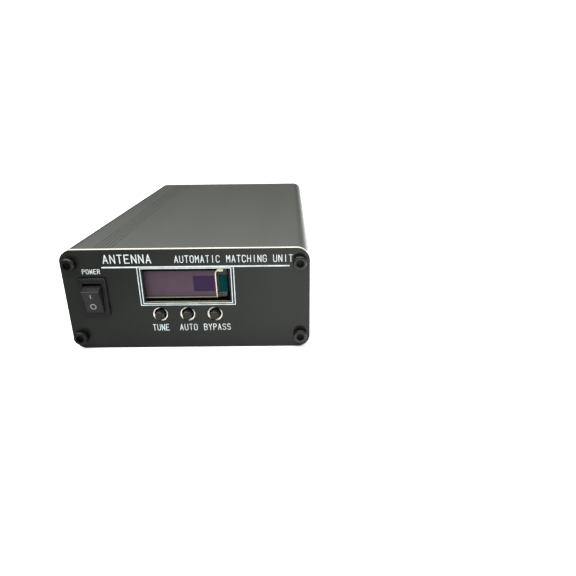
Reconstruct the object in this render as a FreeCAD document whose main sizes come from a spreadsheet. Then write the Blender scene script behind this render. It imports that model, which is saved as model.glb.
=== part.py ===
import FreeCAD, Part
import math
import os

import Sketcher
from FreeCAD import Placement, Rotation, Vector

# An automatic antenna tuner in a split extruded aluminium case, in millimetres.
# The origin is the middle of the case's underside. +Z is up, the front panel
# faces -Y and the radio-frequency sockets face +Y.

DRIVING = {
    # case
    "case_width": 97, "case_height": 42, "shell_length": 155, "panel_thickness": 2,
    "corner_radius": 5, "wall": 2, "screw_x": 44.6, "screw_rise": 5.4, "boss_radius": 3,
    "groove_count": 5, "groove_start": 28.8, "groove_pitch": 1.65, "groove_width": 0.6,
    "groove_depth": 0.12, "side_groove_start": 8.2, "lip_thickness": 0.9, "lip_height": 1.4,
    "lip_gap": 0.1, "rib_depth": 1.5, "rib_thickness": 0.9,
    # M3 fasteners, threads at their major diameter
    "thread_radius": 1.5, "shank_radius": 1.45, "panel_hole_radius": 1.6,
    "head_radius": 2.75, "head_height": 3, "screw_length": 8, "key_flats": 2.5,
    "key_depth": 1.5,
    # boards
    "board_thickness": 1.6, "board_rise": 9.1, "board_half_width": 46.2,
    "board_half_length": 73, "front_board_gap": 8.4, "front_board_left": -28,
    "front_board_right": 22, "front_board_top": 35,
    # power switch
    "switch_x": -36.75, "switch_z": 22.9, "bezel_width": 10.7, "bezel_height": 16,
    "bezel_thickness": 1.5, "bezel_corner": 0.8, "bezel_edge": 0.45, "switch_body_width": 9,
    "switch_body_height": 14.4, "switch_depth": 12, "switch_mouth_width": 7.5,
    "switch_mouth_height": 11.9, "switch_cavity_depth": 10.6, "pivot_depth": 1.6,
    "trunnion_radius": 0.75, "rocker_width": 6.8, "rocker_tilt": 13, "plunger_radius": 0.9,
    "spring_pitch": 0.55, "spring_height": 2, "spring_radius": 0.65,
    "spring_wire_radius": 0.12, "lever_tilt": 8, "lever_depth": 8.55, "lever_width": 3.2,
    "lever_length": 8.4, "lever_thickness": 0.5, "pad_radius": 1, "bead_radius": 0.45,
    "saddle_gap": 0.1, "contact_drop": 3.6, "contact_gap": 1.25, "terminal_width": 2.8,
    "terminal_thickness": 0.8, "terminal_length": 6.5,
    # window and display
    "window_half_width": 17, "window_bottom": 20, "window_top": 34, "display_depth": 3.2,
    "glass_left": -18.6, "glass_right": 11.4, "glass_bottom": 20.7, "glass_top": 32.2,
    "glass_thickness": 1.45, "display_board_left": -22.6, "display_board_right": 15.4,
    "display_board_thickness": 1.2, "display_pin_inset": 1.6, "flex_height": 7.1,
    "flex_drop": 0.3, "flex_fold": 2.2, "flex_reach": 3.9, "flex_step": 0.4,
    "flex_thickness": 0.2,
    # push buttons
    "button_x": -11.6, "button_pitch": 11, "button_z": 14.9, "button_hole_radius": 2.5,
    "button_countersink": 0.45, "stem_radius": 1.75, "stem_reach": 2.2, "stem_end_gap": 1.65,
    "tact_side": 6, "tact_height": 3.5, "tact_cover": 0.3, "leg_half_span": 3.36,
    "leg_half_rise": 2.25, "leg_hole_radius": 0.45, "pin_pitch": 2.54, "pin_radius": 0.32,
    "link_start": -22, "link_height": 1.5,
    # coaxial sockets
    "socket_x": 28.3, "socket_z": 21, "flange_side": 25.4, "flange_thickness": 1.6,
    "flange_corner": 1.2, "flange_hole_spacing": 18.2, "socket_thread_radius": 7.9,
    "socket_root_radius": 7.4, "socket_reach": 13, "socket_bore_radius": 6.2,
    "socket_bore_depth": 7.5, "insulator_radius": 5.5, "socket_tail": 5.5,
    "insulator_tail": 2, "contact_tail": 6, "contact_bore_depth": 9, "contact_radius": 2.6,
    "contact_bore_radius": 2, "socket_hole_radius": 7.7, "nut_flats": 5.5,
    "nut_thickness": 2.4,
    # supply jack and ground socket
    "jack_x": -7, "jack_z": 26, "jack_flange_radius": 6.5, "jack_radius": 5.5,
    "jack_bore_radius": 3, "jack_pin_radius": 1.05, "jack_depth": 13, "jack_nut_flats": 13,
    "jack_tail": 4, "jack_flange_thickness": 2, "ground_x": 8, "ground_collar_radius": 5,
    "ground_barrel_radius": 3.4, "ground_bore_radius": 2, "ground_tube_radius": 2.65,
    "ground_nut_flats": 8, "ground_reach": 2, "ground_bore_depth": 16, "ground_tail": 5,
    # parts on the main board
    "bank_count": 7, "bank_pitch": 12, "bank_start": -34, "relay_length": 15.5,
    "relay_width": 10.5, "relay_height": 11.8, "relay_x": 34, "toroid_x": -14,
    "toroid_ring": 6, "toroid_section": 2.2, "turn_radius": 0.3, "coil_radius": 3,
    "coil_wire_radius": 0.5, "coil_pitch": 1.3, "capacitor_x": 13, "capacitor_radius": 5,
    "capacitor_thickness": 4, "changeover_y": 49.5, "changeover_length": 20, "bridge_x": 8,
    "bridge_y": 63, "bridge_ring": 3.6, "bridge_section": 1.4, "controller_left": -14,
    "controller_right": 21.5, "controller_y": -54, "regulator_x": -36,
    "regulator_back": -45.6, "can_x": -24, "can_radius": 4, "can_height": 12,
    "wire_radius": 0.7, "rf_wire_radius": 0.8,
}

doc = FreeCAD.newDocument("antenna_tuner")
sheet = doc.addObject("Spreadsheet::Sheet", "Dims")
for row, (alias, number) in enumerate(DRIVING.items(), start=1):
    sheet.set("A%d" % row, alias)
    sheet.set("B%d" % row, str(number))
    sheet.setAlias("B%d" % row, alias)
doc.recompute()


# ---------------------------------------------------------------- lengths

class Size:
    """A length that knows its number and its formula on the sheet."""

    def __init__(self, number, text):
        self.number = number
        self.text = text

    def joined(self, sign, other, number):
        return Size(number, "(%s %s %s)" % (self.text, sign, other.text))

    def __add__(self, other):
        other = as_size(other)
        return self.joined("+", other, self.number + other.number)

    def __sub__(self, other):
        other = as_size(other)
        return self.joined("-", other, self.number - other.number)

    def __mul__(self, other):
        other = as_size(other)
        return self.joined("*", other, self.number * other.number)

    def __truediv__(self, other):
        other = as_size(other)
        return self.joined("/", other, self.number / other.number)

    def __neg__(self):
        return self * -1

    def __radd__(self, other):
        return as_size(other) + self

    def __rsub__(self, other):
        return as_size(other) - self

    def __rmul__(self, other):
        return as_size(other) * self


def as_size(value):
    return value if isinstance(value, Size) else Size(float(value), repr(float(value)))


def bind(thing, name, value):
    """Tie a property to its formula, so that the sheet drives it."""
    thing.setExpression(name, as_size(value).text)


class Dimensions:
    """The sheet's cells as lengths: D.wall is the cell named wall."""

    def __getattr__(self, alias):
        return Size(float(DRIVING[alias]), "Dims." + alias)


D = Dimensions()
FRONT = -(D.shell_length / 2 + D.panel_thickness)
REAR = D.shell_length / 2 + D.panel_thickness
INNER_FRONT = -(D.shell_length / 2)
INNER_REAR = D.shell_length / 2
BOARD_TOP = D.board_rise + D.board_thickness
PIVOT_Y = FRONT + D.pivot_depth
LEVER_Y = FRONT + D.lever_depth
GLASS_FRONT = FRONT + D.display_depth
FRONT_BOARD_FACE = FRONT + D.front_board_gap

ALONG = {
    "X": Rotation(Vector(0, 1, 0), 90),
    "Y": Rotation(Vector(1, 0, 0), -90),
    "Z": Rotation(),
}
nodes = []


# ---------------------------------------------------------------- solids

def put(thing, x=0, y=0, z=0, turn=None):
    thing.Placement = Placement(Vector(), turn or Rotation())
    for name, value in (("x", x), ("y", y), ("z", z)):
        bind(thing, "Placement.Base." + name, value)
    return thing


def box(low, high):
    """A block between two opposite corners."""
    block = doc.addObject("Part::Box", "Block")
    for name, a, b in zip(("Length", "Width", "Height"), low, high):
        bind(block, name, as_size(b) - a)
    return put(block, *low)


def spot(axis, across, start):
    """A point at `start` along an axis, with the other two coordinates `across`."""
    u, v = across
    return {"X": (start, u, v), "Y": (u, start, v), "Z": (u, v, start)}[axis]


def rod(axis, across, radius, start, end):
    bar = doc.addObject("Part::Cylinder", "Rod")
    bind(bar, "Radius", radius)
    bind(bar, "Height", as_size(end) - start)
    return put(bar, *spot(axis, across, start), turn=ALONG[axis])


def cone(axis, across, start_radius, end_radius, start, end):
    taper = doc.addObject("Part::Cone", "Taper")
    bind(taper, "Radius1", start_radius)
    bind(taper, "Radius2", end_radius)
    bind(taper, "Height", as_size(end) - start)
    return put(taper, *spot(axis, across, start), turn=ALONG[axis])


def ball(centre, radius):
    sphere = doc.addObject("Part::Sphere", "Ball")
    bind(sphere, "Radius", radius)
    return put(sphere, *centre)


def hexagon(axis, across, flats, start, end):
    prism = doc.addObject("Part::Prism", "Hexagon")
    prism.Polygon = 6
    bind(prism, "Circumradius", as_size(flats) / math.sqrt(3))
    bind(prism, "Height", as_size(end) - start)
    return put(prism, *spot(axis, across, start), turn=ALONG[axis])


def ring(centre, ring_radius, section_radius, turn):
    torus = doc.addObject("Part::Torus", "Ring")
    bind(torus, "Radius1", ring_radius)
    bind(torus, "Radius2", section_radius)
    return put(torus, *centre, turn=turn)


def cut(base, *tools):
    for tool in tools:
        result = doc.addObject("Part::Cut", "Cut")
        result.Base = base
        result.Tool = tool
        base = result
    return base


def fuse(*pieces):
    result = doc.addObject("Part::MultiFuse", "Union")
    result.Shapes = list(pieces)
    result.Refine = True
    return result


def group(pieces):
    result = doc.addObject("Part::Compound", "Group")
    result.Links = list(pieces)
    return result


def node(label, thing):
    """Name a finished sub-part; the name is its file's name too."""
    thing.Label = label
    nodes.append(thing)
    return thing


# ---------------------------------------------------------------- sketched bodies

def new_body():
    return doc.addObject("PartDesign::Body", "Body")


def sketch_on(body, role, offset=0):
    """A sketch on one of the body's own origin planes, moved along its normal."""
    sketch = body.newObject("Sketcher::SketchObject", "Sketch")
    plane = next(f for f in body.Origin.OriginFeatures if f.Role == role)
    sketch.AttachmentSupport = [(plane, "")]
    sketch.MapMode = "FlatFace"
    bind(sketch, "AttachmentOffset.Base.z", offset)
    return sketch


def pin_point(sketch, index, point, x, y):
    """Dimension one point of a sketch from its origin."""
    for kind, value in (("DistanceX", as_size(x)), ("DistanceY", as_size(y))):
        constraint = Sketcher.Constraint(kind, -1, 1, index, point, value.number)
        number = sketch.addConstraint(constraint)
        bind(sketch, "Constraints[%d]" % number, value)


def draw_polygon(sketch, corners):
    points = [Vector(as_size(x).number, as_size(y).number, 0) for x, y in corners]
    first = len(sketch.Geometry)
    count = len(points)
    for i in range(count):
        sketch.addGeometry(Part.LineSegment(points[i], points[(i + 1) % count]), False)
    for i in range(count):
        following = first + (i + 1) % count
        sketch.addConstraint(Sketcher.Constraint("Coincident", first + i, 2, following, 1))
        pin_point(sketch, first + i, 1, *corners[i])
    return sketch


def draw_rectangle(sketch, left, bottom, right, top):
    corners = [(left, bottom), (right, bottom), (right, top), (left, top)]
    return draw_polygon(sketch, corners)


def draw_circle(sketch, x, y, radius):
    centre = Vector(as_size(x).number, as_size(y).number, 0)
    circle = Part.Circle(centre, Vector(0, 0, 1), as_size(radius).number)
    index = sketch.addGeometry(circle, False)
    pin_point(sketch, index, 3, x, y)
    constraint = Sketcher.Constraint("Radius", index, as_size(radius).number)
    number = sketch.addConstraint(constraint)
    bind(sketch, "Constraints[%d]" % number, radius)
    return sketch


def extrude(body, sketch, length, kind="Pad", symmetric=False, backwards=False):
    feature = body.newObject("PartDesign::" + kind, kind)
    feature.Profile = sketch
    bind(feature, "Length", length)
    if symmetric:
        feature.SideType = "Symmetric"
    feature.Reversed = backwards
    sketch.Visibility = False
    return feature


def cut_through(body, sketch):
    """Cut a sketch both ways through everything, and check that it did cut."""
    doc.recompute()
    before = body.Shape.Volume
    pocket = extrude(body, sketch, 4 * D.shell_length, kind="Pocket", symmetric=True)
    doc.recompute()
    if body.Shape.Volume >= before:
        raise ValueError("a pocket in %s cuts nothing" % body.Label)
    return pocket


def edges_where(body, wanted):
    """The names of the edges of a body's last feature that a test accepts."""
    doc.recompute()
    edges = body.Tip.Shape.Edges
    return ["Edge%d" % (i + 1) for i, edge in enumerate(edges) if wanted(edge)]


def dress(body, kind, size, wanted):
    """Fillet or chamfer the chosen edges."""
    names = edges_where(body, wanted)
    feature = body.newObject("PartDesign::" + kind, kind)
    feature.Base = (feature.BaseFeature or body.Tip, names)
    bind(feature, "Radius" if kind == "Fillet" else "Size", size)
    doc.recompute()
    return feature


def runs_along(edge, direction):
    ends = [v.Point for v in edge.Vertexes]
    if len(ends) != 2:
        return False
    span = (ends[1] - ends[0]).normalize()
    return abs(abs(span.dot(direction)) - 1) < 1e-6


def near(a, b):
    return abs(a - as_size(b).number) < 1e-4


def lathe(profile, x, z):
    """Turn a closed profile of (radius, y) points about a line along Y."""
    body = new_body()
    sketch = draw_polygon(sketch_on(body, "XY_Plane"), profile)
    turning = body.newObject("PartDesign::Revolution", "Revolution")
    turning.Profile = sketch
    turning.ReferenceAxis = (sketch, ["V_Axis"])
    turning.Angle = 360
    return put(body, x, 0, z)


# ---------------------------------------------------------------- case

def half_shell(label):
    """One of the two identical U-shaped extrusions, as the lower one lies."""
    body = new_body()
    half_width = D.case_width / 2
    joint = D.case_height / 2
    inside = half_width - D.wall
    outline = draw_rectangle(sketch_on(body, "XZ_Plane"), -half_width, 0, half_width, joint)
    extrude(body, outline, D.shell_length, symmetric=True)
    along_y = Vector(0, 1, 0)
    dress(body, "Fillet", D.corner_radius,
          lambda e: runs_along(e, along_y) and near(e.Vertexes[0].Z, 0))
    hollow = draw_rectangle(sketch_on(body, "XZ_Plane"), -inside, D.wall, inside, joint + 1)
    cut_through(body, hollow)

    ribs = sketch_on(body, "XZ_Plane")
    board_slack = 0.1
    below = D.board_rise - board_slack
    above = BOARD_TOP + board_slack
    for side in (-1, 1):
        low_x, high_x = sorted((side * inside, side * (inside - D.rib_depth)),
                               key=lambda size: size.number)
        draw_rectangle(ribs, low_x, below - D.rib_thickness, high_x, below)
        draw_rectangle(ribs, low_x, above, high_x, above + D.rib_thickness)
    extrude(body, ribs, D.shell_length, symmetric=True)
    bosses = sketch_on(body, "XZ_Plane")
    holes = sketch_on(body, "XZ_Plane")
    for side in (-1, 1):
        draw_circle(bosses, side * D.screw_x, D.screw_rise, D.boss_radius)
        draw_circle(holes, side * D.screw_x, D.screw_rise, D.thread_radius)
    extrude(body, bosses, D.shell_length, symmetric=True)
    cut_through(body, holes)

    grooves = sketch_on(body, "XZ_Plane")
    for side in (-1, 1):
        for i in range(DRIVING["groove_count"]):
            middle = side * (D.groove_start + i * D.groove_pitch)
            draw_rectangle(grooves, middle - D.groove_width / 2, -1,
                           middle + D.groove_width / 2, D.groove_depth)
            level = D.side_groove_start + i * D.groove_pitch
            outer, inner = side * (half_width + 1), side * (half_width - D.groove_depth)
            low_x, high_x = sorted((outer, inner), key=lambda size: size.number)
            draw_rectangle(grooves, low_x, level - D.groove_width / 2,
                           high_x, level + D.groove_width / 2)
    cut_through(body, grooves)

    lip = sketch_on(body, "XZ_Plane")
    draw_rectangle(lip, inside, joint, inside + D.lip_thickness, joint + D.lip_height)
    extrude(body, lip, D.shell_length, symmetric=True)
    rebate = sketch_on(body, "XZ_Plane")
    draw_rectangle(rebate, -(inside + D.lip_thickness + D.lip_gap),
                   joint - D.lip_height - D.lip_gap, -inside, joint)
    cut_through(body, rebate)
    return node(label, body)


def blank_panel(label, outer_face):
    """A rounded rectangular plate with the four case screw holes."""
    body = new_body()
    half_width = D.case_width / 2
    middle = sketch_on(body, "XZ_Plane", offset=-outer_face)
    draw_rectangle(middle, -half_width, 0, half_width, D.case_height)
    extrude(body, middle, D.panel_thickness, backwards=outer_face.number < 0)
    along_y = Vector(0, 1, 0)
    dress(body, "Fillet", D.corner_radius, lambda e: runs_along(e, along_y))
    holes = sketch_on(body, "XZ_Plane")
    for side in (-1, 1):
        for z in (D.screw_rise, D.case_height - D.screw_rise):
            draw_circle(holes, side * D.screw_x, z, D.panel_hole_radius)
    return node(label, body), holes


def button_centres():
    return [D.button_x + i * D.button_pitch for i in range(3)]


def button_leg_places():
    """Where the twelve legs of the push buttons go through the front board."""
    return [(x + dx * D.leg_half_span, D.button_z + dz * D.leg_half_rise)
            for x in button_centres() for dx in (-1, 1) for dz in (-1, 1)]


def link_pin_places():
    """The pins that join the front board to the main board."""
    return [D.link_start + i * D.pin_pitch for i in range(10)]


def front_panel():
    body, holes = blank_panel("front_panel", FRONT)
    for x in button_centres():
        draw_circle(holes, x, D.button_z, D.button_hole_radius)
    draw_rectangle(holes, -D.window_half_width, D.window_bottom,
                   D.window_half_width, D.window_top)
    clearance = 0.15
    half_width = D.switch_body_width / 2 + clearance
    half_height = D.switch_body_height / 2 + clearance
    draw_rectangle(holes, D.switch_x - half_width, D.switch_z - half_height,
                   D.switch_x + half_width, D.switch_z + half_height)
    cut_through(body, holes)
    face = FRONT.number
    dress(body, "Chamfer", D.button_countersink,
          lambda e: e.BoundBox.YMax < face + 1e-4 and isinstance(e.Curve, Part.Circle)
          and near(e.Curve.Radius, D.button_hole_radius))


def rear_panel():
    body, holes = blank_panel("rear_panel", REAR)
    half_spacing = D.flange_hole_spacing / 2
    for side in (-1, 1):
        draw_circle(holes, side * D.socket_x, D.socket_z, D.socket_hole_radius)
        for dx in (-1, 1):
            for dz in (-1, 1):
                draw_circle(holes, side * D.socket_x + dx * half_spacing,
                            D.socket_z + dz * half_spacing, D.panel_hole_radius)
    clearance = 0.1
    draw_circle(holes, D.jack_x, D.jack_z, D.jack_radius + clearance)
    draw_circle(holes, D.ground_x, D.jack_z, D.ground_barrel_radius + clearance)
    cut_through(body, holes)


def socket_head_screw(x, z, face, outwards):
    """An M3 hexagon socket head screw through a panel; outwards is -1 or +1."""
    edge = 0.3
    top = face + outwards * D.head_height
    tip = face - outwards * D.screw_length

    def span(a, b):
        return sorted((as_size(a), as_size(b)), key=lambda size: size.number)

    head = rod("Y", (x, z), D.head_radius, *span(face, top - outwards * edge))
    low, high = span(top - outwards * edge, top)
    radii = (D.head_radius - edge, D.head_radius)
    if outwards > 0:
        radii = radii[::-1]
    rim = cone("Y", (x, z), radii[0], radii[1], low, high)
    shank = rod("Y", (x, z), D.shank_radius, *span(face, tip))
    key = hexagon("Y", (x, z), D.key_flats, *span(top, top - outwards * D.key_depth))
    return cut(fuse(head, rim, shank), key)


def panel_screws(label, face, outwards):
    heights = (D.screw_rise, D.case_height - D.screw_rise)
    node(label, group(socket_head_screw(side * D.screw_x, z, face, outwards)
                      for side in (-1, 1) for z in heights))


def case():
    half_shell("lower_shell")
    upper = half_shell("upper_shell")
    put(upper, 0, 0, D.case_height, turn=Rotation(Vector(0, 1, 0), 180))
    front_panel()
    rear_panel()
    panel_screws("front_panel_screws", FRONT, -1)
    panel_screws("rear_panel_screws", REAR, 1)


# ---------------------------------------------------------------- power switch

def switch_housing():
    """Bezel and body in one moulding, open at the front."""
    body = new_body()

    def rectangle(offset, width, height):
        sketch = sketch_on(body, "XZ_Plane", offset=offset)
        return draw_rectangle(sketch, D.switch_x - width / 2, D.switch_z - height / 2,
                              D.switch_x + width / 2, D.switch_z + height / 2)

    bezel = rectangle(-FRONT, D.bezel_width, D.bezel_height)
    extrude(body, bezel, D.bezel_thickness)
    bezel_front = (FRONT - D.bezel_thickness).number
    dress(body, "Fillet", D.bezel_corner, lambda e: runs_along(e, Vector(0, 1, 0)))
    dress(body, "Fillet", D.bezel_edge, lambda e: e.BoundBox.YMax < bezel_front + 1e-4)
    block = rectangle(-FRONT, D.switch_body_width, D.switch_body_height)
    extrude(body, block, D.switch_depth, backwards=True)
    overshoot = 1
    mouth = rectangle(-(FRONT - D.bezel_thickness - overshoot), D.switch_mouth_width,
                      D.switch_mouth_height)
    extrude(body, mouth, D.bezel_thickness + overshoot + D.switch_cavity_depth, kind="Pocket")
    play = 0.05
    trunnions = sketch_on(body, "YZ_Plane", offset=D.switch_x)
    draw_circle(trunnions, PIVOT_Y, D.switch_z, D.trunnion_radius + play)
    extrude(body, trunnions, D.rocker_width + 1.3, kind="Pocket", symmetric=True)
    slots = sketch_on(body, "XZ_Plane")
    half_width, half_height = D.terminal_width / 2 + play, D.terminal_thickness / 2 + play
    for drop in (0, D.contact_drop):
        draw_rectangle(slots, D.switch_x - half_width, D.switch_z - drop - half_height,
                       D.switch_x + half_width, D.switch_z - drop + half_height)
    cut_through(body, slots)
    node("switch_housing", body)


def on_pivot(thing):
    """Stand a piece that was drawn about the rocker's pivot in its rest position."""
    tilt = Rotation(Vector(1, 0, 0), DRIVING["rocker_tilt"])
    return put(thing, D.switch_x, PIVOT_Y, D.switch_z, turn=tilt)


def power_rocker():
    """The rocking key, drawn about its pivot with its face towards -Y."""
    body = new_body()
    # The face is a shallow V, the ends slope outwards and a boss carries the plunger.
    profile = [
        (-5.36, 4.78), (-4.95, 0), (-5.36, -4.78), (-1.96, -5.28), (0.6, -4.9), (0.6, -1.8),
        (3.6, -1.6), (3.6, 1.6), (0.6, 1.8), (0.6, 4.9), (-1.96, 5.28),
    ]
    side = draw_polygon(sketch_on(body, "YZ_Plane"), profile)
    extrude(body, side, D.rocker_width, symmetric=True)
    face_edge = profile[0][0] + 0.16
    side_edge = profile[1][0] + 0.05
    dress(body, "Fillet", 0.4,
          lambda e: e.BoundBox.YMax < face_edge or (e.BoundBox.XLength < 1e-4
                                                    and e.BoundBox.YMax < side_edge))
    pins = draw_circle(sketch_on(body, "YZ_Plane"), 0, 0, D.trunnion_radius)
    extrude(body, pins, D.rocker_width + 1.2, symmetric=True)
    bore_start, bore_length = 4, 5.4
    bore = draw_circle(sketch_on(body, "XZ_Plane", offset=-bore_start), 0, 0,
                       D.plunger_radius + 0.1)
    extrude(body, bore, bore_length, kind="Pocket", backwards=True)
    node("power_rocker", on_pivot(body))


def plunger_and_spring():
    root, tip = 1.2, 5.4
    plunger = fuse(rod("Y", (0, 0), D.plunger_radius, root, tip),
                   ball((0, tip, 0), D.plunger_radius))
    node("switch_plunger", on_pivot(plunger))
    helix = doc.addObject("Part::Helix", "SpringPath")
    bind(helix, "Pitch", D.spring_pitch)
    bind(helix, "Height", D.spring_height)
    bind(helix, "Radius", D.spring_radius)
    profile = doc.addObject("Part::Circle", "SpringSection")
    bind(profile, "Radius", D.spring_wire_radius)
    put(profile, D.spring_radius, turn=Rotation(Vector(1, 0, 0), 90))
    spring = doc.addObject("Part::Sweep", "Spring")
    spring.Sections = [profile]
    spring.Spine = (helix, ["Edge1"])
    spring.Solid = True
    spring.Frenet = True
    standing = put(group([spring]), 0, D.spring_height / -2, 0, turn=ALONG["Y"])
    node("switch_plunger_spring", on_pivot(group([standing])))


def contact_lever():
    """The seesaw blade that the plunger tips over, with its bead and its moving contact."""
    half_width, half_length = D.lever_width / 2, D.lever_length / 2
    blade = box((-half_width, -D.lever_thickness, -half_length), (half_width, 0, half_length))
    bead = rod("X", (0, 0), D.bead_radius, -half_width, half_width)
    shoulder, point, point_radius = 0.3, 0.5, 0.5
    across = (0, -D.contact_drop)
    rivet = fuse(rod("Y", across, D.pad_radius, -0.1, shoulder),
                 cone("Y", across, D.pad_radius, point_radius, shoulder, point))
    tilt = Rotation(Vector(1, 0, 0), -DRIVING["lever_tilt"])
    lever = fuse(blade, bead, rivet)
    node("switch_contact_lever", put(lever, D.switch_x, LEVER_Y, D.switch_z, turn=tilt))


def terminal_blade(z, tip):
    half_width, half_thickness = D.terminal_width / 2, D.terminal_thickness / 2
    return box((D.switch_x - half_width, tip, z - half_thickness),
               (D.switch_x + half_width, FRONT + D.switch_depth + D.terminal_length,
                z + half_thickness))


def switch_terminals():
    """The saddle that the lever's bead rocks in, and the fixed contact below it."""
    saddle = cut(terminal_blade(D.switch_z, LEVER_Y + 0.2),
                 rod("X", (LEVER_Y, D.switch_z), D.bead_radius + D.saddle_gap,
                     D.switch_x - D.terminal_width, D.switch_x + D.terminal_width))
    low = D.switch_z - D.contact_drop
    face = LEVER_Y + D.contact_gap
    contact = fuse(terminal_blade(low, face + 0.3),
                   rod("Y", (D.switch_x, low), D.pad_radius, face, face + 0.4))
    node("switch_terminals", group([saddle, contact]))


def power_switch():
    switch_housing()
    power_rocker()
    plunger_and_spring()
    contact_lever()
    switch_terminals()


# ---------------------------------------------------------------- display and buttons

def display_pin_places():
    """The four pins that join the display's board to the front board."""
    x = D.display_board_left + D.display_pin_inset
    middle = (D.glass_bottom + D.glass_top) / 2
    return [(x, middle + (i - 1.5) * D.pin_pitch) for i in range(4)]


def display_flex(glass_back):
    """The film that leaves the end of the glass, steps back and lies on the board."""
    start, end = D.glass_right, D.glass_right + D.flex_reach
    fold = start + D.flex_fold
    middle = (D.glass_bottom + D.glass_top) / 2 - D.flex_drop
    low, high = middle - D.flex_height / 2, middle + D.flex_height / 2
    front = glass_back - D.flex_step
    node("display_flex", fuse(
        box((start, front, low), (fold, front + D.flex_thickness, high)),
        box((fold - D.flex_thickness, front, low), (fold, glass_back, high)),
        box((fold - D.flex_thickness, glass_back - D.flex_thickness, low),
            (end, glass_back, high))))


def display():
    glass_back = GLASS_FRONT + D.glass_thickness
    board_back = glass_back + D.display_board_thickness
    glass = box((D.glass_left, GLASS_FRONT, D.glass_bottom),
                (D.glass_right, glass_back, D.glass_top))
    node("display_glass", glass)
    below, above = 0.3, 0.2
    board = box((D.display_board_left, glass_back, D.glass_bottom - below),
                (D.display_board_right, board_back, D.glass_top + above))
    places = display_pin_places()
    holes = [rod("Y", across, D.leg_hole_radius, glass_back - 1, board_back + 1)
             for across in places]
    node("display_board", cut(board, fuse(*holes)))
    display_flex(glass_back)
    half = D.pin_pitch / 2
    x, lowest = places[0]
    highest = places[-1][1]
    block = box((x - half, board_back, lowest - half),
                (x + half, FRONT_BOARD_FACE, highest + half))
    pins = [rod("Y", across, D.pin_radius, glass_back - 0.8, FRONT_BOARD_FACE + 2.4)
            for across in places]
    node("display_header", fuse(block, *pins))


def front_board():
    face, back = FRONT_BOARD_FACE, FRONT_BOARD_FACE + D.board_thickness
    board = box((D.front_board_left, face, BOARD_TOP),
                (D.front_board_right, back, D.front_board_top))
    pin_height = BOARD_TOP + D.link_height / 2
    places = display_pin_places() + button_leg_places()
    places += [(x, pin_height) for x in link_pin_places()]
    node("front_board", cut(board, fuse(*[rod("Y", across, D.leg_hole_radius, face - 1, back + 1)
                                          for across in places])))

    link = link_pin_places()
    strip = box((link[0] - D.pin_pitch / 2, back, BOARD_TOP),
                (link[-1] + D.pin_pitch / 2, back + D.pin_pitch, BOARD_TOP + D.link_height))
    legs = []
    for x in link:
        legs.append(rod("Z", (x, back + D.pin_pitch / 2), D.pin_radius, D.board_rise - 1.2,
                        BOARD_TOP + 0.5))
        legs.append(rod("Y", (x, pin_height), D.pin_radius, face - 1, back + 0.5))
    node("board_link_header", fuse(strip, *legs))


def push_buttons():
    """Three tactile switches with long stems, one body for each stem."""
    base_front = FRONT_BOARD_FACE - D.tact_height
    cover_back = base_front + D.tact_cover
    stem_end = FRONT_BOARD_FACE - D.stem_end_gap
    well_end = FRONT_BOARD_FACE - 1.1
    tip = FRONT - D.stem_reach
    edge, collar, collar_length = 0.3, 0.45, 1.2
    well_gap, cover_gap, dome_gap, dome_thickness = 0.65, 0.1, 0.5, 0.15
    half = D.tact_side / 2
    bases, covers, domes = [], [], []
    for label, x in zip(("tune_button", "auto_button", "bypass_button"), button_centres()):
        across = (x, D.button_z)
        node(label, fuse(
            cone("Y", across, D.stem_radius - edge, D.stem_radius, tip, tip + edge),
            rod("Y", across, D.stem_radius, tip + edge, stem_end),
            rod("Y", across, D.stem_radius + collar, stem_end - collar_length, stem_end)))
        block = box((x - half, cover_back, D.button_z - half),
                    (x + half, FRONT_BOARD_FACE, D.button_z + half))
        bases.append(cut(block, rod("Y", across, D.stem_radius + well_gap, cover_back - 1,
                                    well_end)))
        plate = box((x - half, base_front, D.button_z - half),
                    (x + half, cover_back, D.button_z + half))
        covers.append(cut(plate, rod("Y", across, D.stem_radius + cover_gap, base_front - 1,
                                     cover_back + 1)))
        domes.append(rod("Y", across, D.stem_radius + dome_gap, well_end - dome_thickness,
                         well_end))
    node("button_switch_bases", group(bases))
    node("button_switch_covers", group(covers))
    node("button_switch_domes", group(domes))
    node("button_switch_legs", group(
        rod("Y", across, 0.35, FRONT_BOARD_FACE - 1, FRONT_BOARD_FACE + D.board_thickness + 1.2)
        for across in button_leg_places()))


# ---------------------------------------------------------------- main board

def bank_places():
    return [D.bank_start + i * D.bank_pitch for i in range(DRIVING["bank_count"])]


def relay(x, y, length, width):
    """A sealed relay standing on two feet across its ends."""
    half_length, half_width = length / 2, width / 2
    standoff, inset, foot = 0.3, 1, 1
    pieces = [box((x - half_length, y - half_width, BOARD_TOP + standoff),
                  (x + half_length, y + half_width, BOARD_TOP + standoff + D.relay_height))]
    for start in (x - half_length + inset, x + half_length - inset - foot):
        pieces.append(box((start, y - half_width + inset, BOARD_TOP),
                          (start + foot, y + half_width - inset, BOARD_TOP + 0.5)))
    return fuse(*pieces)


def relays():
    for label, side in (("inductor_relays", -1), ("capacitor_relays", 1)):
        node(label, group(relay(side * D.relay_x, y, D.relay_length, D.relay_width)
                          for y in bank_places()))
    node("changeover_relay", relay(as_size(0), D.changeover_y, D.changeover_length,
                                   D.relay_width))


def loop_radius(section):
    """The radius of a turn wound on a core, with a little air under it."""
    return section + D.turn_radius + 0.03


def ring_height(ring_radius, section):
    """Where the middle of a wound ring is when its turns stand on the board."""
    return BOARD_TOP + ring_radius + loop_radius(section) + D.turn_radius


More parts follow.
